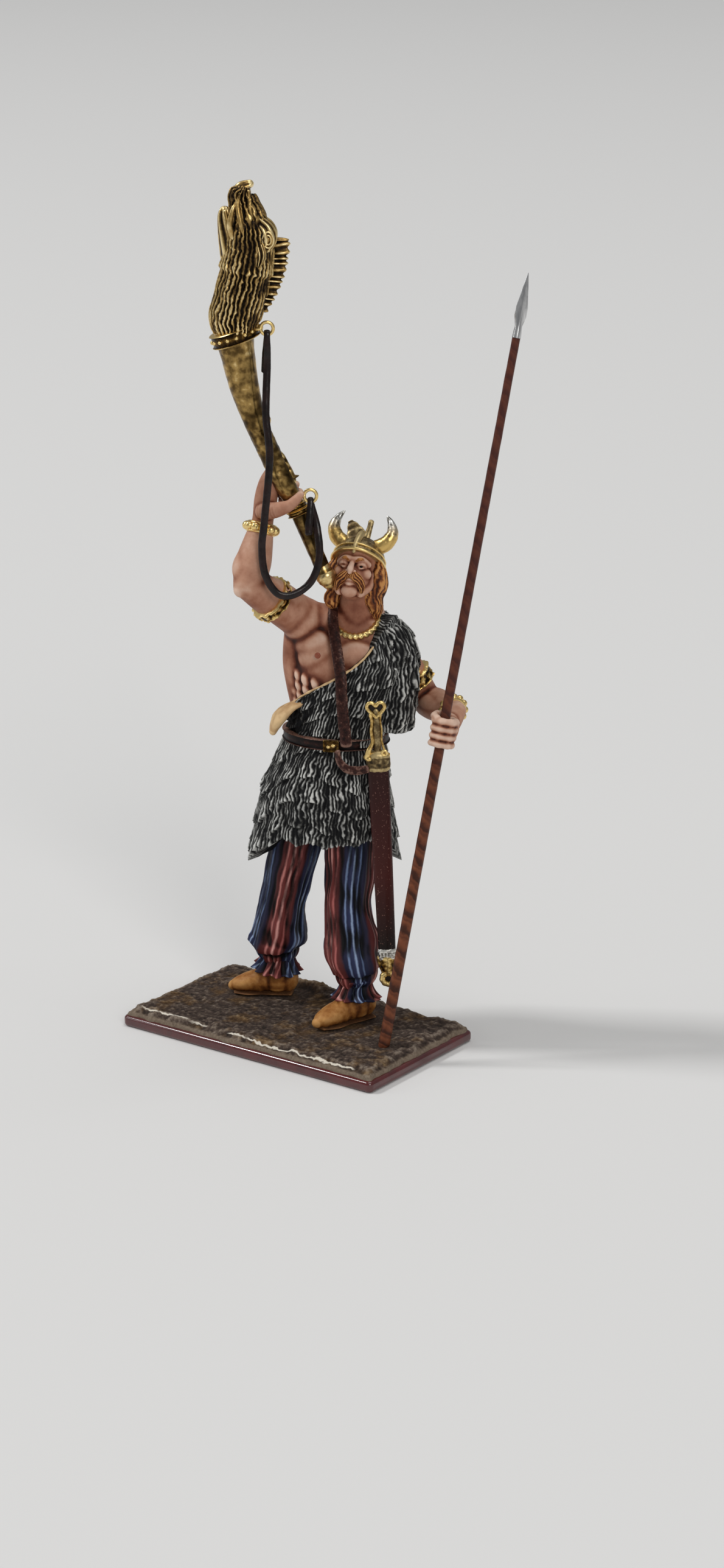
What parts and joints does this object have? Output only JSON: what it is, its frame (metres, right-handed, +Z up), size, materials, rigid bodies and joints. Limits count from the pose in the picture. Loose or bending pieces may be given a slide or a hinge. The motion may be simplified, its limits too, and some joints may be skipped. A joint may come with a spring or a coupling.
{
  "type": "warrior miniature figure",
  "caption": "Cast and painted miniature of an ancient horn blower with a spear and a sheathed sword, standing on a thin plinth of modelled ground.",
  "frame": {"origin": "middle of the plinth's underside", "axes": "+Z up, X along the plinth's long side, the plinth's front edge towards -Y"},
  "size_m": [0.0376, 0.0284, 0.098],
  "materials": {
    "plinth": "gloss dark maroon enamel",
    "groundwork": "matt gritty earth brown, dry-brushed",
    "figure": "matt hand painted, several colours",
    "boar_horn": "antique gold over dark wash",
    "horn_strap": "glossy near-black brown",
    "spear_shaft": "red-brown wood paint, satin",
    "spearhead": "bright steel",
    "sword": "dark red-brown scabbard with gold fittings"
  },
  "bodies": {
    "root": {"plinth": "plinth", "groundwork": "groundwork", "figure": "figure", "boar_horn": "boar_horn", "horn_strap": "horn_strap", "spear_shaft": "spear_shaft", "spearhead": "spearhead", "sword": "sword"}
  },
  "joints": []
}
